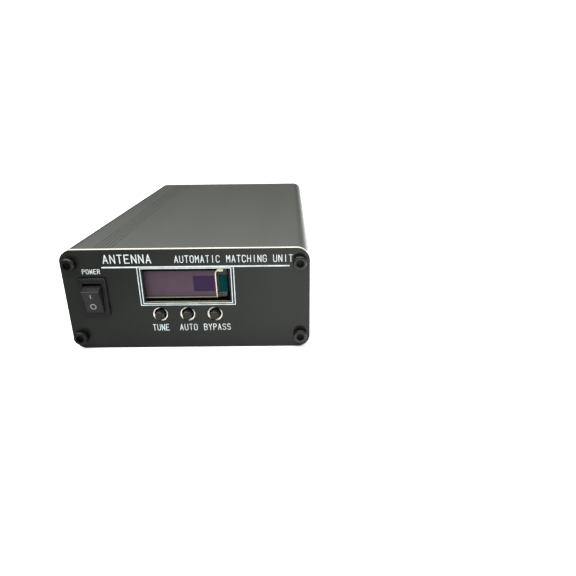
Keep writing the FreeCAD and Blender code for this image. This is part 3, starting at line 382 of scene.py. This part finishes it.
def display_board():
    """The black display board, with a patch of bare grey plating at its lower corner."""
    look = circuit_board("display_board", (0.003, 0.007, 0.008), (0.006, 0.014, 0.016))
    black = look.shader.inputs["Base Color"].links[0].from_socket
    patch = look.inside(11.5 * MM, 14.9 * MM, 20.3 * MM, 23.3 * MM, 0.1 * MM)
    mottle = look.span(look.noise(0.5 * MM, 3), 0, 1, 0.42, 0.58)
    plating = look.tint(mottle, (0.015, 0.018, 0.018), (0.13, 0.14, 0.13))
    look.colour(look.tint(patch, black, plating))
    return look


def display_film():
    """The display's flexible lead: copper lines under dark teal film, grey where it is glued."""
    look = Look("display_film", (0.0, 0.06, 0.055), 0.3, Specular_IOR_Level=0.02)
    lines = look.noise(0.25 * MM, 1, (1, 0, 0.02))
    teal = look.tint(look.span(lines, 0, 1, 0.4, 0.6), (0.0, 0.027, 0.027), (0.0, 0.045, 0.044))
    glued = look.inside(GLASS_HIGH.x - MM, GLASS_HIGH.x + 0.75 * MM, 0, GLASS_HIGH.z, 0.05 * MM)
    look.colour(look.tint(glued, teal, (0.035, 0.04, 0.036)))
    look.rough(look.span(lines, 0.25, 0.35))
    return look


LOOKS = {
    "shell": anodised("shell_anodised", (0.031, 0.034, 0.027), (0.037, 0.040, 0.032), 0.25),
    "panel": panel_finish(),
    "black_steel": metal("black_steel", (0.050, 0.051, 0.048), 0.30, 0.0004),
    # The same black steel made darker for the screw sockets: painted shade in the recess.
    "socket_painted_shade": metal("socket_painted_shade", (0.025, 0.025, 0.024), 0.5, 0.0004),
    "zinc": metal("zinc_plate", (0.62, 0.62, 0.60), 0.28, 0.0006),
    "switch": moulded("switch_plastic", (0.005, 0.005, 0.005), 0.34, Specular_IOR_Level=0.25),
    "rocker": moulded("rocker_plastic", (0.009, 0.009, 0.009), 0.3, Specular_IOR_Level=0.3),
    "stem": moulded("stem_plastic", (0.005, 0.005, 0.005), 0.34, Specular_IOR_Level=0.35),
    "black": moulded("black_plastic", (0.014, 0.014, 0.015), 0.45),
    "spring": metal("spring_steel", (0.66, 0.66, 0.65), 0.22, 0.0002),
    "brass": metal("brass", (0.78, 0.60, 0.28), 0.25, 0.0004),
    "tin": metal("tinned_copper", (0.74, 0.73, 0.70), 0.32, 0.0004),
    "nickel": metal("nickel_plate", (0.70, 0.68, 0.64), 0.16, 0.0008),
    "insulator": moulded("white_insulator", (0.80, 0.79, 0.74), 0.4, 0.0006, 0.000005),
    "board": circuit_board("green_board", (0.012, 0.10, 0.035), (0.03, 0.19, 0.07)),
    "front_board": circuit_board("black_board", (0.004, 0.005, 0.005), (0.010, 0.012, 0.011)),
    "display_board": display_board(),
    "relay": moulded("relay_case", (0.02, 0.06, 0.22), 0.4),
    "core": moulded("powder_core", (0.45, 0.05, 0.03), 0.55, 0.0005, 0.00003),
    "ferrite": moulded("ferrite", (0.06, 0.06, 0.06), 0.6, 0.0005, 0.00003),
    "copper": metal("enamelled_copper", (0.72, 0.30, 0.10), 0.25, 0.0004),
    "capacitor": moulded("dipped_capacitor", (0.08, 0.22, 0.55), 0.35, 0.0008, 0.00002),
    "epoxy": moulded("chip_epoxy", (0.018, 0.018, 0.018), 0.55),
    "sleeve": moulded("can_sleeve", (0.02, 0.02, 0.05), 0.3),
    "red": moulded("red_plastic", (0.50, 0.012, 0.012), 0.3, 0.0006, 0.000006),
    "wire_red": moulded("red_wire", (0.55, 0.02, 0.02), 0.4),
    "wire_black": moulded("black_wire", (0.02, 0.02, 0.02), 0.4),
    "glass": display_glass(),
    "film": display_film(),
    "seal": moulded("pale_sealant", (0.55, 0.49, 0.35), 0.35, 0.0004, 0.00001),
    "ink": moulded("silver_engraving", (0.36, 0.405, 0.41), 0.5, 0.0002, 0.000004),
    "mark": moulded("white_mark", (0.27, 0.27, 0.27), 0.5, 0.0002, 0.000002),
}

NODE_LOOKS = {
    "shell": ["upper_shell", "lower_shell"],
    "panel": ["front_panel", "rear_panel"],
    "black_steel": ["front_panel_screws", "rear_panel_screws"],
    "zinc": ["socket_flange_screws", "socket_flange_nuts", "button_switch_covers",
             "ground_socket_nut", "dc_jack_nut"],
    "switch": ["switch_housing"],
    "rocker": ["power_rocker"],
    "stem": ["tune_button", "auto_button", "bypass_button"],
    "black": ["button_switch_bases", "display_header", "board_link_header",
              "controller_socket", "switch_plunger", "dc_jack_body"],
    "spring": ["switch_plunger_spring", "button_switch_domes", "dc_jack_sleeve_contact"],
    "brass": ["switch_contact_lever", "switch_terminals", "dc_jack_pin",
              "ground_socket_contact", "antenna_socket_contact", "transmitter_socket_contact"],
    "tin": ["button_switch_legs", "rf_wires", "bridge_through_wires"],
    "nickel": ["antenna_socket_shell", "transmitter_socket_shell", "antenna_socket_flange",
               "transmitter_socket_flange"],
    "insulator": ["antenna_socket_insulator", "transmitter_socket_insulator"],
    "board": ["main_board"],
    "front_board": ["front_board"],
    "display_board": ["display_board"],
    "glass": ["display_glass"],
    "film": ["display_flex"],
    "relay": ["inductor_relays", "capacitor_relays", "changeover_relay"],
    "core": ["toroid_cores"],
    "ferrite": ["bridge_cores"],
    "copper": ["toroid_windings", "air_coils", "bridge_windings"],
    "capacitor": ["tuning_capacitors"],
    "epoxy": ["controller_chip", "voltage_regulator"],
    "sleeve": ["smoothing_capacitors"],
    "red": ["ground_socket_body"],
    "wire_red": ["supply_wires"],
    "wire_black": ["return_wires"],
}


def paint_nodes():
    for look, names in NODE_LOOKS.items():
        for name in names:
            paint(nodes[name], look)


def paint(thing, look):
    thing.data.materials.clear()
    thing.data.materials.append(LOOKS[look].material)


# ---------------------------------------------------------------- pieces

def piece(name, mesh, look, body=BODY, replaces=(), smooth=None):
    """Make an object of a bmesh, give it its finish and let it ride on a body."""
    bmesh.ops.recalc_face_normals(mesh, faces=mesh.faces)
    data = bpy.data.meshes.new(name)
    mesh.to_mesh(data)
    mesh.free()
    thing = bpy.data.objects.new(name, data)
    bpy.context.scene.collection.objects.link(thing)
    data.materials.append(LOOKS[look].material)
    if smooth is not None:
        data.shade_smooth()
        data.set_sharp_from_angle(angle=math.radians(smooth))
    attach(thing, body)
    if replaces:
        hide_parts(*replaces)
    return thing


# ---------------------------------------------------------------- lettering

def arc(x, y, rx, ry, start, end, steps=8):
    """Points along an arc, angles in degrees anticlockwise from +x."""
    angles = [math.radians(start + (end - start) * i / steps) for i in range(steps + 1)]
    return [(x + rx * math.cos(a), y + ry * math.sin(a)) for a in angles]


W = 0.42    # a letter's width where its height is 1
R = W / 2


def stroke_font():
    """Single-line capitals of the kind an engraving machine cuts."""
    top, bottom = 1 - R, R
    return {
        "A": [[(0, 0), (R, 1), (W, 0)], [(0.24 * W, 0.33), (0.76 * W, 0.33)]],
        "B": [[(0, 0), (0, 1), (W - R, 1)] + arc(W - R, 0.77, R, 0.23, 90, -90)
              + [(0, 0.54)], arc(W - R, 0.27, R, 0.27, 90, -90) + [(0, 0)]],
        "C": [arc(R, top, R, R, 0, 180) + arc(R, bottom, R, R, 180, 360)],
        "D": [[(0, 0), (0, 1), (W - R, 1)] + arc(W - R, top, R, R, 90, 0)
              + arc(W - R, bottom, R, R, 0, -90) + [(0, 0)]],
        "E": [[(W, 1), (0, 1), (0, 0), (W, 0)], [(0, 0.52), (W * 0.8, 0.52)]],
        "G": [arc(R, top, R, R, 0, 180) + arc(R, bottom, R, R, 180, 360)
              + [(W, 0.48), (R, 0.48)]],
        "H": [[(0, 0), (0, 1)], [(W, 0), (W, 1)], [(0, 0.52), (W, 0.52)]],
        "I": [[(R, 0), (R, 1)]],
        "M": [[(0, 0), (0, 1), (R, 0.45), (W, 1), (W, 0)]],
        "N": [[(0, 0), (0, 1), (W, 0), (W, 1)]],
        "O": [arc(R, top, R, R, 0, 180) + arc(R, bottom, R, R, 180, 360) + [(W, top)]],
        "P": [[(0, 0), (0, 1), (W - R, 1)] + arc(W - R, 0.75, R, 0.25, 90, -90) + [(0, 0.5)]],
        "R": [[(0, 0), (0, 1), (W - R, 1)] + arc(W - R, 0.76, R, 0.24, 90, -90)
              + [(0, 0.52)], [(R, 0.52), (W, 0)]],
        "S": [arc(R, 0.76, R, 0.24, 20, 270) + arc(R, 0.26, R, 0.26, 90, -160)],
        "T": [[(0, 1), (W, 1)], [(R, 1), (R, 0)]],
        "U": [[(0, 1)] + arc(R, bottom, R, R, 180, 360) + [(W, 1)]],
        "W": [[(0, 1), (W * 0.08, 0), (R, 0.7), (W * 0.92, 0), (W, 1)]],
        "Y": [[(0, 1), (R, 0.5), (W, 1)], [(R, 0.5), (R, 0)]],
    }


FONT = stroke_font()
LETTER_PITCH = 0.68


def ribbon(mesh, points, width, place, depth=0.03 * MM, square=False):
    """Add a flat stroke of even width along a line; place() puts (x, y, height) in space."""
    closed = (Vector(points[0]) - Vector(points[-1])).length < 1e-9
    line = [Vector(p) for p in (points[:-1] if closed else points)]
    line = [p for i, p in enumerate(line) if i == 0 or (p - line[i - 1]).length > 1e-7]
    count, half = len(line), width / 2

    def side(i, sign):
        before = line[i] - line[i - 1] if closed or i > 0 else None
        after = line[(i + 1) % count] - line[i] if closed or i < count - 1 else None
        normals = [Vector((-d.y, d.x)).normalized() for d in (before, after) if d is not None]
        middle = sum(normals, Vector((0, 0))).normalized()
        reach = half / max(0.35, middle.dot(normals[0]))
        return line[i] + middle * reach * sign

    left = [side(i, 1) for i in range(count)]
    right = [side(i, -1) for i in range(count)]

    def cap(i, outward):
        """The round end of an open stroke, from its right side to its left."""
        base = math.atan2(outward.y, outward.x)
        angles = [base - math.pi / 2 + math.pi * k / 6 for k in range(1, 6)]
        return [line[i] + half * Vector((math.cos(a), math.sin(a))) for a in angles]

    levels = (-depth, depth)
    rows = {}

    def vertex(key, point, level):
        if (key, level) not in rows:
            rows[(key, level)] = mesh.verts.new(place(point.x, point.y, levels[level]))
        return rows[(key, level)]

    outlines = []
    for i in range(count if closed else count - 1):
        j = (i + 1) % count
        outlines.append([("l", i), ("r", i), ("r", j), ("l", j)])
    where = {("l", i): point for i, point in enumerate(left)}
    where |= {("r", i): point for i, point in enumerate(right)}
    if not closed and not square:
        for i, other in ((0, 1), (count - 1, count - 2)):
            ends = [("r", i), ("l", i)] if i else [("l", i), ("r", i)]
            curve = cap(i, line[i] - line[other])
            for k, point in enumerate(curve):
                where[("cap%d" % i, k)] = point
            round_end = [("cap%d" % i, k) for k in range(len(curve))]
            outlines.append([ends[0]] + round_end + [ends[1]])
    for outline in outlines:
        for level in (0, 1):
            mesh.faces.new([vertex(key, where[key], level) for key in outline])
    edges = {}
    for outline in outlines:
        for a, b in zip(outline, outline[1:] + outline[:1]):
            edges.setdefault(frozenset((a, b)), []).append((a, b))
    for uses in edges.values():
        if len(uses) == 1:
            a, b = uses[0]
            mesh.faces.new([vertex(a, where[a], 0), vertex(b, where[b], 0),
                            vertex(b, where[b], 1), vertex(a, where[a], 1)])


def on_front(x, z, height):
    return Vector((x, FACE - height, z))


def on_rear(x, z, height):
    """The rear panel is read from behind, so its x runs the other way."""
    return Vector((-x, REAR_FACE + height, z))


def smooth_runs(points, limit=50):
    """Split a line where it turns sharply, so that each part can have round ends."""
    line = [Vector(p) for p in points]
    runs, start = [], 0
    for i in range(1, len(line) - 1):
        before, after = line[i] - line[i - 1], line[i + 1] - line[i]
        if before.length > 1e-9 and after.length > 1e-9 \
                and math.degrees(before.angle(after)) > limit:
            runs.append(line[start:i + 1])
            start = i
    runs.append(line[start:])
    return [[tuple(p) for p in run] for run in runs]


def lettering(name, text, left, right, base, height, stroke, place=on_front):
    """Words between two sides, `height` tall, standing on the line z = base."""
    mesh = bmesh.new()
    count = 0
    natural = (LETTER_PITCH * (len(text) - 1) + W) * height
    stretch = (right - left - stroke) / (natural - stroke)
    for i, letter in enumerate(text):
        start = left + stroke / 2 + LETTER_PITCH * i * height * stretch
        for line in FONT.get(letter, []):
            inside = height - stroke
            points = [(start + x * height * stretch, base + stroke / 2 + y * inside)
                      for x, y in line]
            for run in smooth_runs(points):
                # Strokes that cross lie at slightly different heights.
                count += 1
                ribbon(mesh, run, stroke, place, depth=(0.024 + 0.001 * (count % 9)) * MM)
    piece(name, mesh, "ink")


def frame_line(name, left, right, bottom, top, width):
    mesh = bmesh.new()
    corners = [(left, bottom), (right, bottom), (right, top), (left, top), (left, bottom)]
    ribbon(mesh, corners, width, on_front)
    piece(name, mesh, "ink")


def panel_print():
    """The engraved words and lines on the front, and the plain labels on the back."""
    for name, text, left, right, base, height, stroke in (
            ("title_word", "ANTENNA", -31.6, -13.3, 36.45, 3.65, 0.40),
            ("title_function", "AUTOMATIC MATCHING UNIT", -3.9, 41.6, 36.5, 3.0, 0.29),
            ("power_label", "POWER", -40.3, -33.5, 32.25, 2.05, 0.24),
            ("tune_label", "TUNE", -15.3, -8.9, 7.6, 2.9, 0.28),
            ("auto_label", "AUTO", -4.3, 2.6, 7.6, 2.9, 0.28),
            ("bypass_label", "BYPASS", 5.5, 16.1, 7.6, 2.9, 0.28)):
        lettering(name, text, left * MM, right * MM, base * MM, height * MM, stroke * MM)
    mesh = bmesh.new()
    ribbon(mesh, [(-32.4 * MM, 34.95 * MM), (40.6 * MM, 34.95 * MM)], 0.55 * MM, on_front,
           depth=0.04 * MM, square=True)
    piece("title_line", mesh, "ink")
    frame_line("window_outer_line", -18.8 * MM, 18.8 * MM, 18.9 * MM, 34.95 * MM, 0.34 * MM)
    frame_line("window_inner_line", -17.75 * MM, 17.75 * MM, 19.65 * MM, 34.3 * MM, 0.34 * MM)
    for name, text, middle, base in (("antenna_label", "ANTENNA", -28.3, 36),
                                     ("input_label", "INPUT", 28.3, 36),
                                     ("supply_label", "DC IN", 7, 34.5),
                                     ("ground_label", "GROUND", -8, 34.5)):
        half = len(text) * 0.85
        lettering(name, text, (middle - half) * MM, (middle + half) * MM, base * MM, 2.4 * MM,
                  0.32 * MM, on_rear)


# ---------------------------------------------------------------- switch marks

ROCKER_PIVOT = Vector((-36.75 * MM, FACE + 1.6 * MM, 22.9 * MM))
ROCKER_TILT = math.radians(13)
ROCKER_HALF = 4.78 * MM     # from the pivot to the edge of the key's face
ROCKER_DISH = 0.41 * MM     # how much nearer the pivot the middle of the face is
ROCKER_FACE = 4.95 * MM     # from the pivot to the middle of the face


def on_rocker(x, v, height):
    """A point over the key's shallow V-shaped face, v along it from its middle."""
    slope = math.copysign(ROCKER_DISH / ROCKER_HALF, v)
    point = Vector((x, -ROCKER_FACE - slope * v - height, v - slope * height))
    return ROCKER_PIVOT + Matrix.Rotation(ROCKER_TILT, 3, "X") @ point


def rocker_marks():
    mesh = bmesh.new()
    ribbon(mesh, [(-0.1 * MM, 1.9 * MM), (-0.1 * MM, 3.5 * MM)], 0.18 * MM, on_rocker)
    circle = arc(-0.1 * MM, -2.1 * MM, 1.05 * MM, 1.05 * MM, 0, 360, 28)
    ribbon(mesh, circle[:-1] + circle[:1], 0.17 * MM, on_rocker)
    piece("rocker_marks", mesh, "mark", body="rocker")


# ---------------------------------------------------------------- turned pieces

def stack(mesh, rings, sides, place, loop=False, inner=None):
    """Join rings of points: each ring is (height, radius at an angle) along an axis.

    From the ring numbered `inner` on, faces take the piece's second finish.
    """
    rows = []
    for height, radius in rings:
        row = []
        for i in range(sides):
            angle = 2 * math.pi * i / sides
            reach = radius(angle) if callable(radius) else radius
            rise = height(angle) if callable(height) else height
            row.append(mesh.verts.new(place(reach * math.cos(angle), reach * math.sin(angle),
                                            rise)))
        rows.append(row)
    pairs = list(zip(rows, rows[1:])) + ([(rows[-1], rows[0])] if loop else [])
    for number, (lower, upper) in enumerate(pairs):
        for i in range(sides):
            j = (i + 1) % sides
            face = mesh.faces.new([lower[i], lower[j], upper[j], upper[i]])
            face.material_index = int(inner is not None and number >= inner)
    if not loop:
        mesh.faces.new(rows[0])
        mesh.faces.new(rows[-1]).material_index = int(inner is not None)


def hexagonal(flats):
    """The radius of a hexagon at an angle."""
    return lambda a: flats / 2 / math.cos((a + math.pi / 6) % (math.pi / 3) - math.pi / 6)


def knurled(radius, depth, ribs):
    """A radius with straight ribs round it."""
    return lambda a: radius - depth * (0.5 - 0.5 * math.cos(ribs * a))


def cap_screws(name, node, face, outwards):
    """Knurled socket head screws with rounded rims, in place of the plain ones."""
    low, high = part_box(node)
    head_radius = 2.75 * MM
    shank_radius = 1.45 * MM
    head = abs((high.y if outwards > 0 else low.y) - face)
    tip = -8 * MM
    knurl = knurled(head_radius, 0.11 * MM, 36)
    outside = [
        (tip, 1.1 * MM), (tip + 0.4 * MM, shank_radius),
        (0, shank_radius), (0, head_radius - 0.25 * MM),
        (0.2 * MM, knurl), (head - 0.55 * MM, knurl),
        (head - 0.5 * MM, head_radius - 0.11 * MM), (head - 0.18 * MM, head_radius - 0.22 * MM),
        (head - 0.03 * MM, head_radius - 0.45 * MM), (head, 2.1 * MM), (head, 1.70 * MM)]
    recess = [
        (head - 0.15 * MM, hexagonal(2.56 * MM)), (head - 1.5 * MM, hexagonal(2.5 * MM)),
        (head - 1.7 * MM, 0.4 * MM)]
    mesh = bmesh.new()
    for x in (low.x + head_radius, high.x - head_radius):
        for z in (low.z + head_radius, high.z - head_radius):
            def place(u, v, height, x=x, z=z):
                return Vector((x + outwards * u, face + outwards * height, z + v))

            stack(mesh, outside + recess, 144, place, inner=len(outside) - 1)
    thing = piece(name, mesh, "black_steel", replaces=[node], smooth=35)
    # From the chamfer into the socket on, faces take the darker finish, painted shade in the
    # socket.
    thing.data.materials.append(LOOKS["socket_painted_shade"].material)


def coaxial_shell(name, node):
    """A barrel with its 24-to-the-inch thread and the toothed rim that locks the plug."""
    low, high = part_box(node)
    middle = (low + high) / 2
    outer = (high.x - low.x) / 2
    root = outer - 0.5 * MM
    pitch, depth = 25.4 / 24 * MM, 0.55 * MM
    thread_start, mouth = REAR_FACE + 2.6 * MM, high.y
    seat = mouth - 7.5 * MM
    inner, bore = 5.51 * MM, 6.2 * MM

    def place(u, v, y):
        return Vector((middle.x - u, y, middle.z + v))

    def ridge(y):
        fade = min(1, (y - thread_start) / pitch, (mouth - 0.6 * MM - y) / (0.4 * MM))

        def radius(a):
            turn = (y / pitch - a / (2 * math.pi)) % 1
            return outer - depth * max(0, fade) * (1 - abs(2 * turn - 1)) - 0.002 * MM
        return radius

    flange_face = REAR_FACE + 1.6 * MM
    rings = [(low.y, inner), (low.y, root - 0.4 * MM), (low.y + 0.4 * MM, root),
             (flange_face, root), (flange_face, outer - 0.002 * MM),
             (thread_start, outer - 0.002 * MM)]
    steps = int((mouth - 0.5 * MM - thread_start) / (pitch / 6))
    for i in range(1, steps):
        y = thread_start + i * pitch / 6
        rings.append((y, ridge(y)))

    def tooth(a):
        return mouth - (0.5 * MM if math.sin(20 * a) < 0 else 0)

    rings += [(mouth - 0.6 * MM, outer - 0.3 * MM), (tooth, outer - 0.55 * MM),
              (tooth, bore + 0.25 * MM), (mouth - 0.75 * MM, bore), (seat, bore),
              (seat, inner)]
    mesh = bmesh.new()
    stack(mesh, rings, 160, place, loop=True)
    piece(name, mesh, "nickel", replaces=[node], smooth=25)


def turned_pieces():
    cap_screws("front_cap_screws", "front_panel_screws", FACE, -1)
    cap_screws("rear_cap_screws", "rear_panel_screws", REAR_FACE, 1)
    coaxial_shell("antenna_threaded_barrel", "antenna_socket_shell")
    coaxial_shell("transmitter_threaded_barrel", "transmitter_socket_shell")


# ---------------------------------------------------------------- display

def display_pieces():
    """The bead of sealant at the end of the glass."""
    front = GLASS_LOW.y

    def on_glass(x, z, height):
        return Vector((x, front - height, z))

    edge, bottom, top = GLASS_HIGH.x, GLASS_LOW.z, GLASS_HIGH.z
    path = [(edge - 0.15 * MM, bottom + 0.3 * MM), (edge - 0.3 * MM, top - 1.6 * MM)]
    path += arc(edge + 0.9 * MM, top - 1.5 * MM, 1.2 * MM, 1.5 * MM, 170, 95, 6)
    path += [(edge + 2.2 * MM, top + 0.05 * MM)]
    mesh = bmesh.new()
    ribbon(mesh, path, 0.38 * MM, on_glass, depth=0.12 * MM)
    ribbon(mesh, [(edge + 0.9 * MM, top + 0.1 * MM), (edge + 2.4 * MM, top + 0.1 * MM)],
           1.0 * MM, on_glass, depth=0.15 * MM)
    piece("display_sealant", mesh, "seal")


# ---------------------------------------------------------------- making

look_camera()
studio()
paint_nodes()
panel_print()
rocker_marks()
turned_pieces()
display_pieces()
